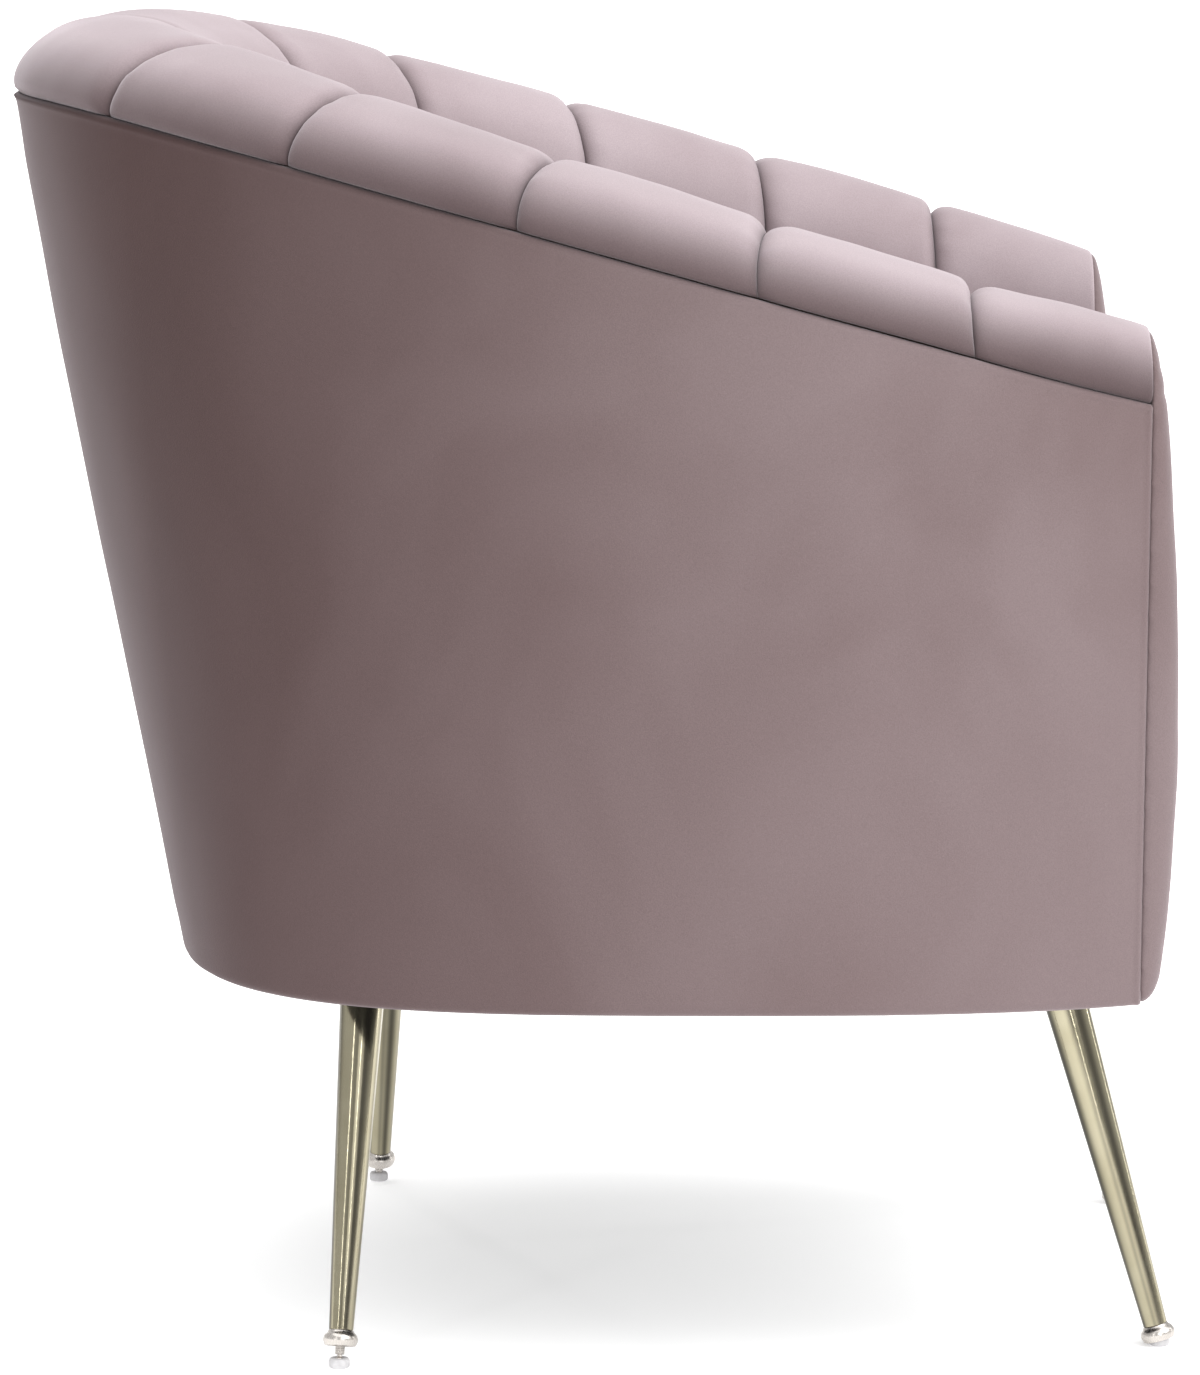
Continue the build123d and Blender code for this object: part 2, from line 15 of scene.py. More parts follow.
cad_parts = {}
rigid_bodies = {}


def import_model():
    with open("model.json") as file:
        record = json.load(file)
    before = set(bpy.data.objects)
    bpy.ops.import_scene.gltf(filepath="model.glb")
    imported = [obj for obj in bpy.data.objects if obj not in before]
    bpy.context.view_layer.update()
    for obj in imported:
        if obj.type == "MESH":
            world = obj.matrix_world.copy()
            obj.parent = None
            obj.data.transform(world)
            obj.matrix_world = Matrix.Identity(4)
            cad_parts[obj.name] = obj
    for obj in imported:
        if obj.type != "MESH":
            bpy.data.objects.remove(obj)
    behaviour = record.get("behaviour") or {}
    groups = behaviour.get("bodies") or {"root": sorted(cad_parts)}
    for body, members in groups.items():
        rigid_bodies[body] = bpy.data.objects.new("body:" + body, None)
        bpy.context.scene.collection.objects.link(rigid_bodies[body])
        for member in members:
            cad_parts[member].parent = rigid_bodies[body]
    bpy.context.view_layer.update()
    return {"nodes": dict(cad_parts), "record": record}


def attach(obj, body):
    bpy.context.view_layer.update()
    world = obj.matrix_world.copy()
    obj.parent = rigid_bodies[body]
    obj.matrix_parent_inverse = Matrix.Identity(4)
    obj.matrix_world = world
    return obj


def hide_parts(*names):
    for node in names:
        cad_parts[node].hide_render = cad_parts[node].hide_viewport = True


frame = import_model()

# The wall's shape and the legs' sizes, in millimetres, as in the CAD source
CREST_HALF_WIDTH = 326
CREST_BACK = 273.5
WIDEST_Y = -205
BACK_REACH = CREST_BACK - WIDEST_Y
FRONT_REACH = 264
END_ANGLE = 119
SEAM_ANGLES = (0, 26.4, 45, 62.6, 78.7, 95.3, END_ANGLE)
CREST_TOP = 790
CREST_SLOPE = 0.288
CREST_BEND = 12
BASE_HALF_WIDTH = 328
BASE_MIDDLE_Y = -60
BASE_BACK_REACH = 309
BASE_FRONT_REACH = 398
BASE_POWER = 3
OUTER_RIM = (55, 25)
INNER_RIM = (45, 15)
INNER_RAKE = (22, 25)
RIM_DROP = 39
INNER_DROP = 50
SHELL_BOTTOM = 225.5
CHANNEL_BOTTOM = 372
CUSHION_TOP = 460
FRONT_Y = -353
ARM_END_Y = WIDEST_Y + FRONT_REACH * math.cos(math.radians(END_ANGLE))
TUBE_TOP_RADIUS = 13.5
TUBE_END_RADIUS = 7.4
TUBE_WALL = 1.2
TUBE_GAP = 4.5
CUP_HEIGHT = 9.5
BALL_HEIGHT = 4.5
PLATE_BOTTOM = SHELL_BOTTOM - 4.5
# How far along the leg each foot's cup stands above the middle of its ball joint
LIFTS = {"front_left": -1, "front_right": -1, "rear_left": 8.5, "rear_right": 8.5}
EVERY_ANGLE = sorted({sign * a for a in SEAM_ANGLES for sign in (-1, 1)})


def crest(a):
    a = np.asarray(a, float)
    t = np.radians(a)
    reach = np.where(np.abs(a) < 90, BACK_REACH, FRONT_REACH)
    return CREST_HALF_WIDTH * np.sin(t), WIDEST_Y + reach * np.cos(t)


def across(a):
    a = np.asarray(a, float)
    t = np.radians(a)
    nx, ny = BACK_REACH * np.sin(t), CREST_HALF_WIDTH * np.cos(t)
    size = np.hypot(nx, ny)
    side = np.abs(a) >= 90
    return np.where(side, np.sign(a), nx / size), np.where(side, 0, ny / size)


def crest_z(a):
    fall = CREST_SLOPE * (CREST_BACK - crest(a)[1])
    return CREST_TOP - np.hypot(fall, CREST_BEND) + CREST_BEND


def widened(offset, a):
    return offset[0] + offset[1] * np.maximum(0, np.cos(np.radians(a))) ** 2


def bottom_r(a):
    a = np.asarray(a, float)
    (x, y), (nx, ny) = crest(a), across(a)
    low, high = np.full(a.shape, -60.0), np.full(a.shape, 120.0)
    for _ in range(30):
        mid = (low + high) / 2
        along = y + ny * mid - BASE_MIDDLE_Y
        reach = np.where(along > 0, BASE_BACK_REACH, BASE_FRONT_REACH)
        across_part = np.abs((x + nx * mid) / BASE_HALF_WIDTH) ** BASE_POWER
        inside = across_part + np.abs(along / reach) ** BASE_POWER < 1
        low, high = np.where(inside, mid, low), np.where(inside, high, mid)
    return low


def outer_r(a, z):
    rim, rim_r = crest_z(a) - RIM_DROP, widened(OUTER_RIM, a)
    return rim_r + (bottom_r(a) - rim_r) * (rim - z) / (rim - SHELL_BOTTOM)


def inner_r(a, z):
    top = crest_z(a) - INNER_DROP
    return -widened(INNER_RIM, a) - widened(INNER_RAKE, a) * (top - z) / (top - CHANNEL_BOTTOM)


def at(a, r, z):
    """Points in metres from a section's angle, its r and the height."""
    (x, y), (nx, ny) = crest(a), across(a)
    return np.stack([x + nx * r, y + ny * r, z + 0 * x], -1) / 1000


def lumps(points, scale, seed):
    """Smooth noise, about -1 to 1, at each point."""
    flat = points.reshape(-1, 3) * scale
    return np.array([noise.noise(Vector(p) + Vector((seed, 0, 0))) for p in flat]).reshape(points.shape[:-1])


def ease(x):
    """A quarter circle's rise: steep at 0, level from 1 on."""
    return np.sqrt(np.maximum(0, 1 - (1 - np.clip(x, 0, 1)) ** 2))


def normals(grid):
    du, dv = np.gradient(grid, axis=0), np.gradient(grid, axis=1)
    n = np.cross(du, dv)
    return n / np.maximum(np.linalg.norm(n, axis=-1, keepdims=True), 1e-12)


def mesh_object(name, points, faces, smooth=True):
    mesh = bpy.data.meshes.new(name)
    mesh.from_pydata([tuple(p) for p in points], [], faces)
    mesh.update()
    if smooth:
        mesh.polygons.foreach_set("use_smooth", [True] * len(mesh.polygons))
    obj = bpy.data.objects.new(name, mesh)
    bpy.context.scene.collection.objects.link(obj)
    return obj


def grid_faces(rows, columns, start=0, wrap=False, flip=False):
    faces = []
    for i in range(rows - 1):
        for j in range(columns if wrap else columns - 1):
            k = (j + 1) % columns
            face = [start + i * columns + j, start + (i + 1) * columns + j,
                    start + (i + 1) * columns + k, start + i * columns + k]
            faces.append(face[::-1] if flip else face)
    return faces


def closed_sheet(name, front, back, flip=False):
    """A closed form from two grids of the same size that share their outline's order."""
    rows, columns = front.shape[:2]
    count = rows * columns
    faces = grid_faces(rows, columns, 0, flip=flip) + grid_faces(rows, columns, count, flip=not flip)
    edge = [(0, j) for j in range(columns)] + [(i, columns - 1) for i in range(1, rows)]
    edge += [(rows - 1, j) for j in range(columns - 2, -1, -1)] + [(i, 0) for i in range(rows - 2, 0, -1)]
    for (i, j), (k, m) in zip(edge, edge[1:] + edge[:1]):
        a, b = i * columns + j, k * columns + m
        face = [a, b, b + count, a + count]
        faces.append(face if flip else face[::-1])
    return mesh_object(name, np.concatenate([front.reshape(-1, 3), back.reshape(-1, 3)]), faces)


# Soft pieces


def bake(obj):
    """Puts an object's modifiers into its mesh."""
    graph = bpy.context.evaluated_depsgraph_get()
    mesh = bpy.data.meshes.new_from_object(obj.evaluated_get(graph))
    obj.modifiers.clear()
    obj.data = mesh
    mesh.polygons.foreach_set("use_smooth", [True] * len(mesh.polygons))


def places(mesh):
    out = np.empty(3 * len(mesh.vertices))
    mesh.vertices.foreach_get("co", out)
    return out.reshape(-1, 3)


def even_out(obj, voxel, passes):
    """Remeshes a closed form in even small faces and relaxes them."""
    remesh = obj.modifiers.new("even", "REMESH")
    remesh.mode, remesh.voxel_size = "VOXEL", voxel
    relax = obj.modifiers.new("relax", "SMOOTH")
    relax.factor, relax.iterations = 0.5, passes
    bake(obj)


def inflate(obj, pressure, cap):
    """Blows a closed form up as cloth for 20 frames, and keeps each point within cap of where it started."""
    start = places(obj.data)
    cloth = obj.modifiers.new("cloth", "CLOTH")
    cloth.settings.use_pressure = True
    cloth.settings.uniform_pressure_force = pressure
    cloth.settings.effector_weights.gravity = 0
    for step in range(1, 21):
        bpy.context.scene.frame_set(step)
    bake(obj)
    move = places(obj.data) - start
    size = np.linalg.norm(move, axis=1, keepdims=True)
    move *= np.minimum(1, cap / np.maximum(size, 1e-9))
    obj.data.vertices.foreach_set("co", (start + move).ravel())
    obj.modifiers.new("finer", "SUBSURF").levels = 1
    bake(obj)
    bpy.context.scene.frame_set(1)


# Materials


def new_material(name):
    material = bpy.data.materials.new(name)
    material.use_nodes = True
    nodes, links = material.node_tree.nodes, material.node_tree.links
    return material, nodes, links, nodes["Principled BSDF"]


def ramp(nodes, stops):
    node = nodes.new("ShaderNodeValToRGB")
    for element, (place, colour) in zip(node.color_ramp.elements, stops):
        element.position, element.color = place, (*colour, 1)
    return node


def noise_node(nodes, links, source, scale, detail=2, distortion=0, stretch=None):
    if stretch:
        mapping = nodes.new("ShaderNodeMapping")
        mapping.inputs["Scale"].default_value = stretch
        links.new(source, mapping.inputs["Vector"])
        source = mapping.outputs["Vector"]
    node = nodes.new("ShaderNodeTexNoise")
    node.inputs["Scale"].default_value = scale
    node.inputs["Detail"].default_value = detail
    node.inputs["Distortion"].default_value = distortion
    links.new(source, node.inputs["Vector"])
    return node


def mix_colour(nodes, links, blend, factor, a, b):
    node = nodes.new("ShaderNodeMix")
    node.data_type, node.blend_type = "RGBA", blend
    node.inputs["Factor"].default_value = factor
    links.new(a, node.inputs[6])
    links.new(b, node.inputs[7])
    return node.outputs[2]


def bump(nodes, links, shader, height, strength, distance):
    node = nodes.new("ShaderNodeBump")
    node.inputs["Strength"].default_value = strength
    node.inputs["Distance"].default_value = distance
    links.new(height, node.inputs["Height"])
    links.new(node.outputs["Normal"], shader.inputs["Normal"])
    return node


def velvet(name, dark, light, shaded, sheen=0.55):
    """Short-pile velvet: clouds where the pile has been brushed one way or the other, a fine pile, and
    painted shade, a number painted at each point that darkens the colour towards its shaded tone.
    """
    material, nodes, links, shader = new_material(name)
    where = nodes.new("ShaderNodeTexCoord").outputs["Object"]
    clouds = noise_node(nodes, links, where, 5.5, 3, 0.6, (1, 1, 0.7))
    tone = ramp(nodes, [(0.34, dark), (0.66, light)])
    links.new(clouds.outputs["Fac"], tone.inputs["Fac"])
    pile = noise_node(nodes, links, where, 1400, 2)
    pile_tone = ramp(nodes, [(0.3, (0.84, 0.84, 0.84)), (0.7, (1.0, 1.0, 1.0))])
    links.new(pile.outputs["Fac"], pile_tone.inputs["Fac"])
    colour = mix_colour(nodes, links, "MULTIPLY", 1, tone.outputs["Color"], pile_tone.outputs["Color"])
    # Painted shade: the number painted at each point darkens the colour towards the shaded tone where the
    # surface would lie in shade.
    painted_shade_input = nodes.new("ShaderNodeAttribute")
    painted_shade_input.attribute_name = "painted_shade"
    painted_shade_tone = ramp(nodes, [(0.0, shaded), (1.0, (1.0, 1.0, 1.0))])
    links.new(painted_shade_input.outputs["Fac"], painted_shade_tone.inputs["Fac"])
    colour = mix_colour(nodes, links, "MULTIPLY", 1, colour, painted_shade_tone.outputs["Color"])
    links.new(colour, shader.inputs["Base Color"])
    shader.inputs["Roughness"].default_value = 0.92
    shader.inputs["Specular IOR Level"].default_value = 0.12
    shader.inputs["Sheen Weight"].default_value = sheen
    shader.inputs["Sheen Roughness"].default_value = 0.42
    shader.inputs["Sheen Tint"].default_value = (0.93, 0.86, 0.9, 1)
    bump(nodes, links, shader, pile.outputs["Fac"], 0.25, 0.0006)
    return material


def metal(name, colour, dull, rough, streak=(1, 1, 0.06), painted_reflections=False):
    """Drawn and polished metal: faint lines along it, a little unevenness, and, where asked for, painted
    reflections, dark bands along it that stand in for reflected surroundings.
    """
    material, nodes, links, shader = new_material(name)
    where = nodes.new("ShaderNodeTexCoord").outputs["Object"]
    wear = noise_node(nodes, links, where, 30, 4, 0.3)
    tone = ramp(nodes, [(0.35, dull), (0.6, colour)])
    links.new(wear.outputs["Fac"], tone.inputs["Fac"])
    surface = tone.outputs["Color"]
    if painted_reflections:
        # Painted reflections: a number painted round the tube darkens the colour in bands that stand in for
        # reflected dark surroundings.
        painted_reflection_input = nodes.new("ShaderNodeAttribute")
        painted_reflection_input.attribute_name = "painted_reflection_band"
        painted_reflection_tone = ramp(nodes, [(0.0, (0.2, 0.2, 0.22)), (1.0, (1.0, 1.0, 1.0))])
        links.new(painted_reflection_input.outputs["Fac"], painted_reflection_tone.inputs["Fac"])
        surface = mix_colour(nodes, links, "MULTIPLY", 1, surface, painted_reflection_tone.outputs["Color"])
    links.new(surface, shader.inputs["Base Color"])
    shader.inputs["Metallic"].default_value = 1
    lines = noise_node(nodes, links, where, 900, 2, 0, streak)
    gloss = ramp(nodes, [(0.3, (rough * 0.7,) * 3), (0.7, (rough * 1.4,) * 3)])
    links.new(lines.outputs["Fac"], gloss.inputs["Fac"])
    links.new(gloss.outputs["Color"], shader.inputs["Roughness"])
    bump(nodes, links, shader, lines.outputs["Fac"], 0.06, 0.0002)
    return material


def grained(name, dark, light, rough, scale, stretch, metallic=0):
    material, nodes, links, shader = new_material(name)
    where = nodes.new("ShaderNodeTexCoord").outputs["Object"]
    grain = noise_node(nodes, links, where, scale, 5, 1.2, stretch)
    tone = ramp(nodes, [(0.3, dark), (0.7, light)])
    links.new(grain.outputs["Fac"], tone.inputs["Fac"])
    links.new(tone.outputs["Color"], shader.inputs["Base Color"])
    shader.inputs["Roughness"].default_value = rough
    shader.inputs["Metallic"].default_value = metallic
    bump(nodes, links, shader, grain.outputs["Fac"], 0.2, 0.0005)
    return material


# Painted shade: the outside, the facings and the apron use a darker copy of the channels' velvet, the same
# cloth with shade painted into its colour.
SHADED_SHELL_VELVET = velvet("shaded_shell_velvet", (0.172, 0.125, 0.126), (0.21, 0.16, 0.163), (0.28, 0.2, 0.185), 0.3)
CHANNEL_VELVET = velvet("channel_velvet", (0.36, 0.29, 0.305), (0.45, 0.375, 0.395), (0.25, 0.215, 0.21), 0.5)
MATERIALS = {
    "velvet": CHANNEL_VELVET,
    "plywood": grained("plywood", (0.42, 0.27, 0.14), (0.66, 0.48, 0.3), 0.75, 22, (1, 1, 9)),
    "hardwood": grained("hardwood", (0.3, 0.17, 0.08), (0.5, 0.32, 0.18), 0.7, 18, (1, 6, 1)),
    "fibreboard": grained("fibreboard", (0.28, 0.18, 0.1), (0.4, 0.28, 0.17), 0.85, 160, (1, 1, 1)),
    "spring_steel": metal("spring_steel", (0.42, 0.42, 0.44), (0.28, 0.27, 0.27), 0.35),
    "lining": grained("lining", (0.008, 0.008, 0.009), (0.03, 0.03, 0.032), 0.95, 600, (1, 1, 1)),
    "wadding": grained("wadding", (0.7, 0.69, 0.64), (0.86, 0.85, 0.82), 1.0, 250, (1, 1, 1)),
    # The brass's bands are painted reflections.
    "brass": metal("brass", (0.42, 0.385, 0.275), (0.38, 0.345, 0.24), 0.12, painted_reflections=True),
    "steel": metal("steel", (0.66, 0.62, 0.58), (0.48, 0.45, 0.42), 0.26),
    "glide": grained("glide", (0.52, 0.51, 0.52), (0.66, 0.65, 0.66), 0.6, 120, (1, 1, 1)),
}
slot_of = {s["node"]: s["material_slot"] for s in frame["record"]["subparts"]}
for node, obj in frame["nodes"].items():
    obj.data.materials.clear()
    obj.data.materials.append(MATERIALS[slot_of[node]])


def dress(obj, material, slot, body, *nodes):
    obj.data.materials.append(material)
    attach(obj, body)
    if nodes:
        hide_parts(*nodes)
    return obj


def paint(obj, name, values):
    """A number at each point by which a material darkens its colour, 1 for not at all.

    Velvet reads one that paints shade into its colour, and brass one that paints reflection bands into its
    colour.
    """
    layer = obj.data.attributes.new(name, "FLOAT", "POINT")
    layer.data.foreach_set("value", np.asarray(values, np.float32))


# The channels

SEAM_DEPTH = 9.5
CROWN = 1.6
ROUNDING = 15
BACK_ROLL = 7.5
END_ROUNDING = 3
END_DEPTH = 1.2
FOAM_DEPTH = 0.017
ACROSS_STEPS = 40
CHANNELS = len(EVERY_ANGLE) - 1
ROLL_RUN = 120
RIM_FLATNESS = (0.35, 30)
RIM_TUCK = (3.2, 9)
PUCKER_DEPTH = 1.5
PUCKER_SPACING = 11
PUCKER_REACH = 13
CHANNEL_LUMPS = ((1.3, 14, 11), (0.5, 38, 31))
# Painted shade on the channels: how far from the rim seam it fades out, how dark it stays in the seams and
# how far beside them, and how much darker it grows low down the inside wall.
PAINTED_RIM_SHADE_RUN = 52
PAINTED_SEAM_SHADE = (0.25, 11)
PAINTED_LOW_SHADE = (0.13, 125, 70)


def channel_profile(a):
    """The channel's outer line in one section, from the rim seam over the crest and down to the seat."""
    high = crest_z(a)[..., None]
    outer, inner = widened(OUTER_RIM, a)[..., None], widened(INNER_RIM, a)[..., None]
    rise = np.radians(np.linspace(0, 90, 26))
    turn = np.radians(np.linspace(90, 180, 22))[1:]
    drop = np.linspace(0, 1, 50)[1:]
    foot = inner_r(a, CHANNEL_BOTTOM)[..., None]
    r = np.concatenate([outer * np.cos(rise), inner * np.cos(turn), -inner + (foot + inner) * drop], -1)
    z = np.concatenate([high - RIM_DROP * (1 - np.sin(rise)), high - INNER_DROP * (1 - np.sin(turn)),
                        high - INNER_DROP + (CHANNEL_BOTTOM + 6 - high + INNER_DROP) * drop], -1)
    return r, z


def build_channel(number, first, last):
    """One padded channel: pulled in along its seams, crowned between them, and puckered beside them."""
    u = (1 - np.cos(np.linspace(0, np.pi, ACROSS_STEPS + 1))) / 2
    a = first + (last - first) * u
    r, z = channel_profile(a)
    base = at(a[:, None], r, z)
    n = -normals(base)
    width = np.linalg.norm(np.diff(base, axis=0), axis=-1).sum(0) * 1000
    before, after = u[:, None] * width[None, :], (1 - u)[:, None] * width[None, :]
    seam = after if number == 1 else before if number == CHANNELS else np.minimum(before, after)
    end = before if number == 1 else after if number == CHANNELS else before + END_ROUNDING
    steps = np.linalg.norm(np.diff(base, axis=1), axis=-1) * 1000
    run = np.concatenate([np.zeros((len(u), 1)), np.cumsum(steps, 1)], 1)
    puff = -SEAM_DEPTH * (1 - ease(seam / ROUNDING)) + CROWN * (1 - (2 * u[:, None] - 1) ** 2)
    puff -= END_DEPTH * (1 - ease(end / END_ROUNDING))
    behind = np.maximum(0, across(a)[1])[:, None] ** 2
    puff += BACK_ROLL * behind * np.sin(np.pi * np.clip(run / ROLL_RUN, 0, 1))
    least, full_from = RIM_FLATNESS
    puff *= least + (1 - least) * ease(run / full_from)
    tuck, tuck_run = RIM_TUCK
    puff -= tuck * (1 - ease(run / tuck_run))
    pucker = lumps(np.stack([run / PUCKER_SPACING, seam / 60, 0 * run + number * 7.3], -1), 1, 3)
    puff += PUCKER_DEPTH * pucker * np.exp(-seam / PUCKER_REACH) * np.clip(seam / 4, 0, 1)
    for size, scale, seed in CHANNEL_LUMPS:
        puff += size * lumps(base, scale, seed + number)
    front = base + n * puff[..., None] / 1000
    back = base - n * FOAM_DEPTH
    for sheet in (front, back):
        sheet[..., 1] = np.maximum(sheet[..., 1], ARM_END_Y / 1000)
    obj = closed_sheet(f"velvet_channel_{number:02d}", front, back)
    # Painted shade: darker towards the outside rim seam, where the roll turns down and away from the light,
    # darker in the seams' creases, and a little darker low down the inside wall.
    painted_shade = np.clip(run / PAINTED_RIM_SHADE_RUN, 0, 1)
    at_seam, seam_reach = PAINTED_SEAM_SHADE
    painted_shade = painted_shade * painted_shade * (3 - 2 * painted_shade) * (at_seam + (1 - at_seam) * ease(seam / seam_reach))
    loss, far_from, far_over = PAINTED_LOW_SHADE
    painted_shade *= 1 - loss * np.clip((run - far_from) / far_over, 0, 1)
    paint(obj, "painted_shade", np.concatenate([painted_shade.ravel()] * 2))
    dress(obj, CHANNEL_VELVET, "velvet", "chair", f"channel_{number:02d}")


for number, (first, last) in enumerate(zip(EVERY_ANGLE, EVERY_ANGLE[1:]), 1):
    build_channel(number, first, last)


# The outside cover

COVER_THICK = 8
BACK_FULLNESS = 5
RIM_WELT = (1.1, 2.2, 1.7)
END_WELT = (1.3, 2.4, 1.8)
BOTTOM_TUCK = (4.5, 6)
# Painted shade on the outside: where its darkening starts as the surface turns to face back, and over how
# much of that turn it reaches full.
PAINTED_BACK_SHADE_FROM = 0.05
PAINTED_BACK_SHADE_OVER = 0.72
STITCH_PUCKERS = ((533, 0.9), (523, 0.8), (503, 0.7), (462, 0.35), (388, 0.4))


def finer_ends(first, last, margin, at_ends, between):
    """Numbers from first to last, closer together within margin of each end."""
    low = np.linspace(first, first + margin, at_ends)
    high = np.linspace(last - margin, last, at_ends)
    return np.concatenate([low[:-1], np.linspace(low[-1], high[0], between), high[1:]])


def ridge(distance, middle, width):
    return np.exp(-((distance - middle) / width) ** 2)


def build_cover():
    """The plain outside: a folded welt under its rim and down its front edges, turned in all round."""
    a = finer_ends(-END_ANGLE, END_ANGLE, 6, 24, 260)
    v = finer_ends(0, 1, 0.04, 11, 64)
    top = crest_z(a) - RIM_DROP - 1.2
    z = SHELL_BOTTOM + (top - SHELL_BOTTOM)[:, None] * v[None, :]
    r = outer_r(a[:, None], z)
    base = at(a[:, None], r, z)
    from_top, from_bottom = top[:, None] - z, z - SHELL_BOTTOM
    from_end = 1.2 * np.abs(crest(a)[1] - ARM_END_Y)
    from_end = np.where(np.abs(a) > 90, from_end, 400)[:, None]
    behind = np.maximum(0, across(a)[1])[:, None] ** 2
    shift = 1.4 * lumps(base, 5, 5) + 0.5 * lumps(base, 16, 9)
    shift += BACK_FULLNESS * behind * np.sin(np.pi * v)[None, :] ** 0.7
    shift *= np.clip(from_top / 40, 0, 1) * np.clip(from_bottom / 30, 0, 1) * np.clip(from_end / 30, 0, 1)
    shift += RIM_WELT[0] * ridge(from_top, *RIM_WELT[1:]) + END_WELT[0] * ridge(from_end, *END_WELT[1:])
    shift -= 2.6 * (1 - ease(from_top / 2.6)) + 2.6 * (1 - ease(from_end / 2.4))
    shift -= BOTTOM_TUCK[0] * (1 - ease(from_bottom / BOTTOM_TUCK[1]))
    for height, size in STITCH_PUCKERS:
        near_end = np.exp(-from_end / 11) * np.clip(from_end / 3, 0, 1)
        shift -= size * ridge(z, height, 2.6) * near_end
    front = at(a[:, None], r + shift, z)
    back = at(a[:, None], r - COVER_THICK + 0.5, z)
    obj = closed_sheet("velvet_outside", front, back, flip=True)
    # Painted shade: the outside is darker the more it faces back, away from the light.
    facing_back = np.clip((across(a)[1] - PAINTED_BACK_SHADE_FROM) / PAINTED_BACK_SHADE_OVER, 0, 1)[:, None] + 0 * z
    paint(obj, "painted_shade", np.concatenate([(1 - facing_back).ravel()] * 2))
    dress(obj, SHADED_SHELL_VELVET, "velvet", "chair", "outside_cover", "edge_welt")


build_cover()


# The facings on the front of the arms, and the apron between them

FULLEST_HEIGHT = 371
UPPER_SETBACK = (13, 229)
LOWER_SETBACK = (7, 121)
FACING_ROUNDING = 19
FACING_LUMPS = 0.9
PLEATS = ((606, 0.25, 1.5), (592, 0.15, 2.6))
APRON_ROUNDING = 16
APRON_SETBACK = 4


def panel(name, outline, middle, rounding, back_y, front_y, creased=None):
    """A domed panel that faces -Y: rings from its outline in to its middle line, closed by a flat back.

    front_y gives how far forward it stands at a place, and creased, if given, moves the finished grid.
    """
    steps = np.concatenate([(np.linspace(0, 1, 18) ** 1.6) * 0.42, np.linspace(0.42, 1, 16)[1:]])
    reach = np.linalg.norm(middle - outline, axis=1)
    rings = []
    for s in steps:
        place = outline + (middle - outline) * s
        rise = ease(s * reach / rounding)
        front = front_y(place[:, 0], place[:, 1])
        y = back_y + (front - back_y) * rise
        rings.append(np.stack([place[:, 0], y, place[:, 1]], -1))
    grid = np.array(rings)
    if creased is not None:
        grid = creased(grid)
    flat = grid[0].copy()
    flat[:, 1] = back_y + 2
    count = outline.shape[0]
    points = np.concatenate([flat[None], grid]).reshape(-1, 3) / 1000
    faces = grid_faces(len(rings) + 1, count, 0, wrap=True)
    centre = len(points)
    points = np.concatenate([points, points[-count:].mean(0)[None], (flat.mean(0) / 1000)[None]])
    last = len(rings) * count
    faces += [[last + j, centre, last + (j + 1) % count] for j in range(count)]
    faces += [[(j + 1) % count, centre + 1, j] for j in range(count)]
    return mesh_object(name, points, faces)


def resample(points, count, softness):
    """An outline of evenly spaced points with its corners rounded."""
    points = np.asarray(points, float)
    loop = np.concatenate([points, points[:1]])
    along = np.concatenate([[0], np.cumsum(np.linalg.norm(np.diff(loop, axis=0), axis=1))])
    at_s = np.linspace(0, along[-1], count, endpoint=False)
    out = np.stack([np.interp(at_s, along, loop[:, k]) for k in (0, 1)], -1)
    weight = np.exp(-0.5 * (np.arange(-12, 13) / softness) ** 2)
    weight /= weight.sum()
    return sum(w * np.roll(out, k, axis=0) for w, k in zip(weight, range(-12, 13)))


def front_line(z):
    """How far forward the facings stand at each height."""
    above, below = z - FULLEST_HEIGHT, FULLEST_HEIGHT - z
    upper = UPPER_SETBACK[0] * (above / UPPER_SETBACK[1]) ** 2
    lower = LOWER_SETBACK[0] * (below / LOWER_SETBACK[1]) ** 2
    return FRONT_Y + np.where(above > 0, upper, lower)


def facing_line():
    """A facing's outline as (r, height), from the outside's foot over the arm's end to the seat and down."""
    a = np.array(float(END_ANGLE))
    high = float(crest_z(a))
    outer, inner = float(widened(OUTER_RIM, a)), float(widened(INNER_RIM, a))
    foot = float(inner_r(a, CHANNEL_BOTTOM))
    rise = np.radians(np.linspace(0, 90, 24))
    turn = np.radians(np.linspace(90, 180, 24))
    line = [(float(bottom_r(a)), SHELL_BOTTOM)]
    line += list(zip(outer * np.cos(rise), high - RIM_DROP * (1 - np.sin(rise))))
    line += list(zip(inner * np.cos(turn), high - INNER_DROP * (1 - np.sin(turn))))
    return line + [(foot, CHANNEL_BOTTOM), (foot, SHELL_BOTTOM)]


def facing_middle_r(z):
    """The r halfway between a facing's outside and inside edges at each height."""
    a = np.array(float(END_ANGLE))
    foot, bottom = float(inner_r(a, CHANNEL_BOTTOM)), float(bottom_r(a))
    share = np.clip((z - SHELL_BOTTOM) / (float(crest_z(a)) - RIM_DROP - SHELL_BOTTOM), 0, 1)
    outside = bottom + (float(widened(OUTER_RIM, a)) - bottom) * share
    inside = np.where(z > CHANNEL_BOTTOM, inner_r(a, np.maximum(z, CHANNEL_BOTTOM)), foot)
    return (outside + inside) / 2


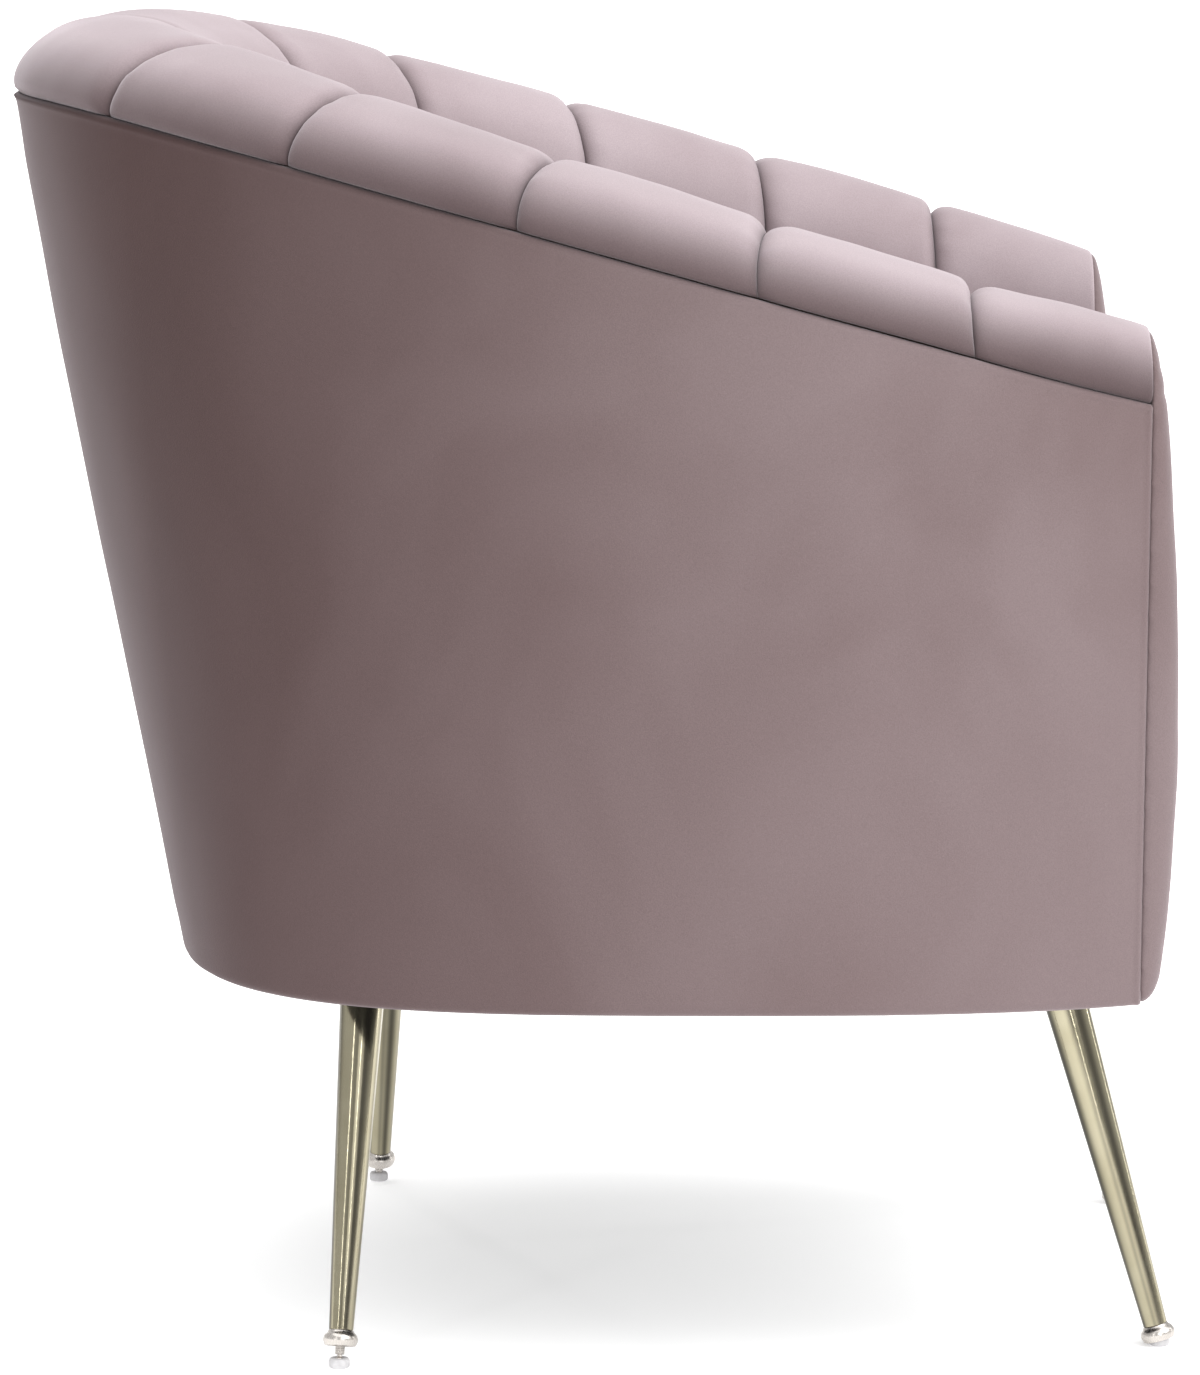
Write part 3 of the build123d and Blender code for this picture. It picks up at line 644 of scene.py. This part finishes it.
def pleated(grid, side, middle_x):
    """A facing's grid with its pleats, which run in from the outside just under the arm's end."""
    x, y, z = grid[..., 0], grid[..., 1], grid[..., 2]
    outwards = side * (x - middle_x)
    for height, slope, size in PLEATS:
        near = np.exp(-((z - height - slope * (y + 340)) / 2.2) ** 2) * np.clip((outwards - 8) / 22, 0, 1)
        near *= np.clip((y - FRONT_Y + 2) / 10, 0.15, 1)
        grid[..., 0] -= side * size * near
        grid[..., 1] += size * near * 0.5
    grid[..., 1] += FACING_LUMPS * lumps(grid, 0.02, 17 + side)
    return grid


def build_facing(side):
    name = "left" if side > 0 else "right"
    a = np.array(side * END_ANGLE, float)
    middle_x = float(crest(a)[0])
    outline = resample([(middle_x + side * r, z) for r, z in facing_line()], 260, 2.2)
    z = np.clip(outline[:, 1], SHELL_BOTTOM + 40, float(crest_z(a)) - 52)
    middle = np.stack([middle_x + side * facing_middle_r(z), z], -1)
    obj = panel(f"velvet_facing_{name}", outline, middle, FACING_ROUNDING, ARM_END_Y - 0.4,
                lambda x, z: front_line(z), lambda grid: pleated(grid, side, middle_x))
    even_out(obj, 0.0028, 4)
    dress(obj, SHADED_SHELL_VELVET, "velvet", "chair", f"arm_facing_{name}")


def build_apron():
    a = np.array(float(END_ANGLE))
    half = float(crest(a)[0]) + float(inner_r(a, CHANNEL_BOTTOM)) + 2
    low, high = SHELL_BOTTOM, CHANNEL_BOTTOM + 6
    middle_z = (low + high) / 2
    outline = resample([(-half, low), (half, low), (half, high), (-half, high)], 300, 1.6)
    reach = half - 60
    middle = np.stack([np.clip(outline[:, 0], -reach, reach), np.full(len(outline), middle_z)], -1)

    def front_y(x, z):
        return FRONT_Y + APRON_SETBACK + 3 * ((z - middle_z) / 75) ** 2 + 0 * x

    obj = panel("velvet_apron", outline, middle, APRON_ROUNDING, ARM_END_Y - 2.5, front_y)
    even_out(obj, 0.004, 4)
    dress(obj, SHADED_SHELL_VELVET, "velvet", "chair", "front_apron")


for side in (-1, 1):
    build_facing(side)
build_apron()


# The cushion

CUSHION_LOW = 381
CUSHION_MIDDLE = np.array([0, -110])
CUSHION_EDGE = 9
CUSHION_CROWN = 8
CUSHION_PRESSURE = 4
CUSHION_CAP = 0.004
PIPING = 0.0024


def cushion_outline(height, inset, front):
    a = np.linspace(-END_ANGLE + 1, END_ANGLE - 1, 180)
    wall = at(a, inner_r(a, height) - inset, 0 * a)[:, :2] * 1000
    ends = [(wall[-1][0], front), (wall[0][0], front)]
    return resample(list(map(tuple, wall)) + ends, 300, 3.0)


def level_ring(place, z):
    return np.stack([place[:, 0], place[:, 1], z + 0 * place[:, 0]], -1)


def build_cushion():
    """A boxed cushion: rings out over its underside, up its sides, and in over its crowned top."""
    middle_z, half = (CUSHION_LOW + CUSHION_TOP) / 2, (CUSHION_TOP - CUSHION_LOW) / 2
    outline = cushion_outline(middle_z, 1.5, FRONT_Y + 5)
    away = outline - CUSHION_MIDDLE
    heart = CUSHION_MIDDLE + away * 0.3
    reach = np.linalg.norm(outline - heart, axis=1)
    away = away / np.linalg.norm(away, axis=1)[:, None]
    inward = np.concatenate([np.linspace(0, 0.1, 9), np.linspace(0.1, 1, 22)[1:]])
    rings = []
    for s in inward[::-1]:
        rise = CUSHION_EDGE * (1 - ease(s * reach / 14))
        rings.append(level_ring(outline + (heart - outline) * s, CUSHION_LOW + rise))
    for t in np.linspace(-0.82, 0.82, 9):
        rings.append(level_ring(outline + away * (1 - 3.5 * (t / 0.9) ** 2), middle_z + t * half))
    for s in inward:
        crown = CUSHION_CROWN * ease(s * 1.1) ** 1.5 + 5 * ease(s * reach / 16)
        rings.append(level_ring(outline + (heart - outline) * s, CUSHION_TOP - CUSHION_EDGE + crown))
    grid = np.array(rings)
    count = grid.shape[1]
    points = grid.reshape(-1, 3) / 1000
    faces = grid_faces(len(rings), count, 0, wrap=True, flip=True)
    total = len(points)
    points = np.concatenate([points, points[:count].mean(0)[None], points[-count:].mean(0)[None]])
    faces += [[j, total, (j + 1) % count] for j in range(count)]
    last = total - count
    faces += [[last + (j + 1) % count, total + 1, last + j] for j in range(count)]
    wave = 1.6 * lumps(points, 8, 41) + 0.7 * lumps(points, 24, 43)
    points[:, 2] += np.where(points[:, 2] > 0.44, wave / 1000, 0)
    obj = mesh_object("velvet_cushion", points, faces)
    even_out(obj, 0.006, 2)
    inflate(obj, CUSHION_PRESSURE, CUSHION_CAP)
    dress(obj, CHANNEL_VELVET, "velvet", "chair", "seat_cushion")
    return obj, outline


def build_piping(cushion, outline):
    """The cord sewn round the top and the bottom edge of the cushion's side, laid on its surface."""
    points, faces = np.empty((0, 3)), []
    for z in (CUSHION_LOW + 8, CUSHION_TOP - 8):
        near = level_ring(outline, np.array(z)) / 1000
        path = np.array([cushion.closest_point_on_mesh(Vector(place))[1] for place in near])
        ring_points, ring_faces = tube(path, PIPING)
        faces += [[k + len(points) for k in face] for face in ring_faces]
        points = np.concatenate([points, ring_points])
    dress(mesh_object("velvet_cushion_piping", points, faces), CHANNEL_VELVET, "velvet", "chair")


def tube(path, radius, sides=10):
    """A closed round tube along a closed level path."""
    ahead = np.roll(path, -1, 0) - np.roll(path, 1, 0)
    ahead /= np.linalg.norm(ahead, axis=1)[:, None]
    side = np.stack([ahead[:, 1], -ahead[:, 0], 0 * ahead[:, 0]], -1)
    up = np.array([0, 0, 1.0])
    t = np.linspace(0, 2 * np.pi, sides, endpoint=False)
    circle = np.cos(t)[None, :, None] * side[:, None] + np.sin(t)[None, :, None] * up
    rings = path[:, None] + radius * circle
    count = len(path)
    faces = []
    for i in range(count):
        for j in range(sides):
            k, m = (i + 1) % count, (j + 1) % sides
            faces.append([i * sides + j, i * sides + m, k * sides + m, k * sides + j])
    return rings.reshape(-1, 3), faces


build_piping(*build_cushion())


# The legs, with sizes along them measured in millimetres from the middle of the ball joint

SEGMENTS = 96
SCREW_RADIUS = 3
SCREW_SPAN = (3.4, 37)
BALL_RADIUS = 2.6
CUP_BORE = 3.1
PAD_RADIUS = 6.2


def leg_axis(leg):
    """The middle of a leg's ball joint, and its direction upwards, from its mount and its joint."""
    mounts = {m["name"]: m for m in frame["record"]["mounts"]}
    joints = {j["name"]: j for j in frame["record"]["behaviour"]["joints"]}
    foot = Vector(mounts[f"foot_{leg}"]["pos_m"]) + Vector((0, 0, BALL_HEIGHT / 1000))
    return foot, -Vector(joints[f"level_{leg}"]["axis"]).normalized()


def lathe(name, profile, foot, axis, segments=SEGMENTS):
    """A turned surface. The profile is (radius, height along the axis) in millimetres, end to end."""
    side = axis.cross(Vector((0, 1, 0))).normalized()
    other = axis.cross(side)
    t = np.linspace(0, 2 * np.pi, segments, endpoint=False)
    ring = np.cos(t)[:, None] * np.array(side) + np.sin(t)[:, None] * np.array(other)
    rings = [np.array(foot) + (h / 1000) * np.array(axis) + (r / 1000) * ring for r, h in profile]
    faces = grid_faces(len(profile), segments, 0, wrap=True)
    return mesh_object(name, np.array(rings).reshape(-1, 3), faces)


def rounded(corners, radius, steps=5):
    """A profile with each corner turned into a small arc."""
    out = []
    for i, (point, r) in enumerate(zip(corners, radius)):
        if r <= 0 or i in (0, len(corners) - 1):
            out.append(tuple(point))
            continue
        p, a, b = np.array(point, float), np.array(corners[i - 1], float), np.array(corners[i + 1], float)
        da, db = (a - p) / np.linalg.norm(a - p), (b - p) / np.linalg.norm(b - p)
        cut = min(r, 0.45 * np.linalg.norm(a - p), 0.45 * np.linalg.norm(b - p))
        for s in np.linspace(0, 1, steps + 1):
            q = (1 - s) ** 2 * (p + da * cut) + 2 * s * (1 - s) * p + s ** 2 * (p + db * cut)
            out.append(tuple(q))
    return out


def threaded(name, foot, axis, radius, start, end, pitch=1.0, depth=0.28, segments=40):
    """A screw's shank with its thread, as one spiralling surface."""
    side = axis.cross(Vector((0, 1, 0))).normalized()
    other = axis.cross(side)
    per_turn = 8
    rows = int((end - start) / pitch * per_turn) + 1
    heights = np.linspace(start, end, rows)
    t = np.linspace(0, 2 * np.pi, segments, endpoint=False)
    phase = heights[:, None] / pitch - t[None, :] / (2 * np.pi)
    wave = np.abs((phase % 1) - 0.5) * 2
    r = radius - depth * wave
    r[0], r[-1] = radius - 0.7, radius - 0.7
    ring = np.cos(t)[:, None] * np.array(side) + np.sin(t)[:, None] * np.array(other)
    grid = np.array(foot) + heights[:, None, None] / 1000 * np.array(axis) + r[..., None] / 1000 * ring[None]
    faces = grid_faces(rows, segments, 0, wrap=True)
    faces.append(list(range(segments))[::-1])
    faces.append([(rows - 1) * segments + j for j in range(segments)])
    return mesh_object(name, grid.reshape(-1, 3), faces)


def face_outwards(obj):
    form = bmesh.new()
    form.from_mesh(obj.data)
    bmesh.ops.recalc_face_normals(form, faces=form.faces)
    form.to_mesh(obj.data)
    form.free()


def build_tube(leg, lift, foot, axis):
    """The tapered brass tube, with the start of its bore, and painted reflections along it: soft dark bands
    in place of reflected surroundings.
    """
    low = lift + CUP_HEIGHT
    high = (PLATE_BOTTOM - BALL_HEIGHT) / axis.z - TUBE_GAP
    bore = TUBE_END_RADIUS - TUBE_WALL
    corners = [(bore, low + 30), (bore, low + 0.4), (TUBE_END_RADIUS, low), (TUBE_TOP_RADIUS, high),
               (TUBE_TOP_RADIUS - TUBE_WALL, high)]
    profile = rounded(corners, (0, 0.3, 0.6, 0.6, 0))
    obj = lathe(f"brass_leg_{leg}", profile, foot, axis)
    # Painted reflections: wide and narrow dark bands round the tube, the same all along it.
    turn = np.linspace(0, 2 * np.pi, SEGMENTS, endpoint=False)
    wide = 0.9 * np.abs(np.sin(2 * turn + 0.7)) ** 6
    fine = 0.45 * np.maximum(0, np.sin(5 * turn + 1.9)) ** 4
    paint(obj, "painted_reflection_band", np.tile(np.clip(1 - wide - fine, 0, 1), len(profile)))
    face_outwards(obj)
    dress(obj, MATERIALS["brass"], "brass", "chair", f"leg_tube_{leg}")


def build_cup(leg, lift, foot, axis):
    """The flared cup under the tube, with its plug up inside it."""
    corners = [(CUP_BORE, 5), (8.3, 5), (8.3, 0), (9.4, 0), (10.8, 3.6), (9.8, 6.6), (8.1, 8.2),
               (7.4, 9.5), (6.0, 9.6), (6.0, 34), (CUP_BORE, 34), (CUP_BORE, 5)]
    radii = (0, 0.3, 0.5, 0.6, 2.4, 1.4, 1.2, 0.3, 0, 0, 0, 0)
    profile = rounded([(r, lift + h) for r, h in corners], radii)
    obj = lathe(f"foot_flange_{leg}", profile, foot, axis)
    face_outwards(obj)
    dress(obj, MATERIALS["steel"], "steel", "chair", f"foot_cup_{leg}")


def build_leveller(leg, foot, axis):
    """The threaded screw, its ball, and the pad that the ball stands in, which all move together."""
    screw = threaded(f"levelling_screw_{leg}", foot, axis, SCREW_RADIUS, *SCREW_SPAN)
    arc = [(BALL_RADIUS * math.cos(t), BALL_RADIUS * math.sin(t)) for t in np.linspace(-1.5, 0.95, 16)]
    profile = [(0.01, -BALL_RADIUS)] + arc + [(1.5, 3.0), (1.6, 3.8), (0.01, 3.9)]
    ball = lathe(f"levelling_ball_{leg}", profile, foot, axis, 40)
    for piece in (screw, ball):
        face_outwards(piece)
        dress(piece, MATERIALS["steel"], "steel", f"leveller_{leg}")
    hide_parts(f"leveller_stud_{leg}")
    floor_place = Vector((foot.x, foot.y, 0))
    corners = [(0.01, 0), (5.2, 0), (PAD_RADIUS, 0.9), (PAD_RADIUS, 4.6), (5.4, 6), (2.4, 6), (2.75, 4.5),
               (2.0, 2.6), (0.01, 1.8)]
    profile = rounded(corners, (0, 0.3, 0.7, 1.2, 0.8, 0.3, 0, 0, 0))
    pad = lathe(f"glide_{leg}", profile, floor_place, Vector((0, 0, 1)), 64)
    face_outwards(pad)
    dress(pad, MATERIALS["glide"], "glide", f"leveller_{leg}", f"leveller_pad_{leg}")


for leg, lift in LIFTS.items():
    foot, axis = leg_axis(leg)
    build_tube(leg, lift, foot, axis)
    build_cup(leg, lift, foot, axis)
    build_leveller(leg, foot, axis)


def finish_velvet():
    """Turns every velvet piece's faces outwards, and gives those without painted shade a number of 1, which
    leaves their colour unshaded.
    """
    for obj in bpy.context.scene.objects:
        if obj.type == "MESH" and obj.name.startswith("velvet_"):
            face_outwards(obj)
            if "painted_shade" not in obj.data.attributes:
                paint(obj, "painted_shade", np.ones(len(obj.data.vertices)))


finish_velvet()


# The stage: a pale floor, soft lights and the camera

FLOOR_REACH = 40
FLOOR_GLOW = 0.4
WORLD_LIGHT = 0.72
CAMERA_PLACE = (-4.2951, -0.0644, 0.9821)
CAMERA_YAW = 0.0127
CAMERA_PITCH = 0.1406
CAMERA_LENS = 180.4
STRIP_PLACES = ((-2.6, 1.5), (-2.9, -0.7), (0.9, -2.9), (2.7, 1.2))


def build_floor():
    reach = FLOOR_REACH
    corners = [(-reach, -reach, 0), (reach, -reach, 0), (reach, reach, 0), (-reach, reach, 0)]
    floor = mesh_object("floor", corners, [[0, 1, 2, 3]], smooth=False)
    material, _, _, shader = new_material("pale_floor")
    shader.inputs["Base Color"].default_value = (0.93, 0.93, 0.93, 1)
    shader.inputs["Roughness"].default_value = 0.9
    shader.inputs["Emission Color"].default_value = (1, 1, 1, 1)
    shader.inputs["Emission Strength"].default_value = FLOOR_GLOW
    floor.data.materials.append(material)


def area_light(name, place, target, size, power):
    light = bpy.data.lights.new(name, "AREA")
    light.shape, light.energy = "RECTANGLE", power
    light.size, light.size_y = size
    obj = bpy.data.objects.new(name, light)
    bpy.context.scene.collection.objects.link(obj)
    obj.location = place
    obj.rotation_euler = (Vector(target) - Vector(place)).to_track_quat("-Z", "Y").to_euler()


def sun_light(name, towards, power, angle):
    light = bpy.data.lights.new(name, "SUN")
    light.energy, light.angle = power, math.radians(angle)
    obj = bpy.data.objects.new(name, light)
    bpy.context.scene.collection.objects.link(obj)
    obj.rotation_euler = Vector(towards).to_track_quat("-Z", "Y").to_euler()


def light_stage():
    sun_light("key", (0.42, 0.8, -1.0), 1.6, 50)
    sun_light("top", (0.1, -0.05, -1.0), 1.25, 70)
    area_light("front_fill", (-3.6, -1.0, 1.7), (0, 0, 0.45), (2.2, 2.2), 18)
    for number, (x, y) in enumerate(STRIP_PLACES, 1):
        area_light(f"strip_{number}", (x, y, 1.0), (0, 0, 0.3), (0.09, 1.9), 5)
    world = bpy.data.worlds.new("studio")
    world.use_nodes = True
    world.node_tree.nodes["Background"].inputs["Color"].default_value = (1, 1, 1, 1)
    world.node_tree.nodes["Background"].inputs["Strength"].default_value = WORLD_LIGHT
    bpy.context.scene.world = world
    bpy.context.scene.view_settings.view_transform = "Standard"


def place_camera():
    camera = bpy.data.objects.new("camera", bpy.data.cameras.new("camera"))
    bpy.context.scene.collection.objects.link(camera)
    level = math.cos(CAMERA_PITCH)
    forward = Vector((level * math.cos(CAMERA_YAW), level * math.sin(CAMERA_YAW), -math.sin(CAMERA_PITCH)))
    camera.location = CAMERA_PLACE
    camera.rotation_euler = forward.to_track_quat("-Z", "Y").to_euler()
    camera.data.sensor_width = 36
    camera.data.lens = CAMERA_LENS
    camera.data.clip_end = 200
    bpy.context.scene.camera = camera


build_floor()
light_stage()
place_camera()
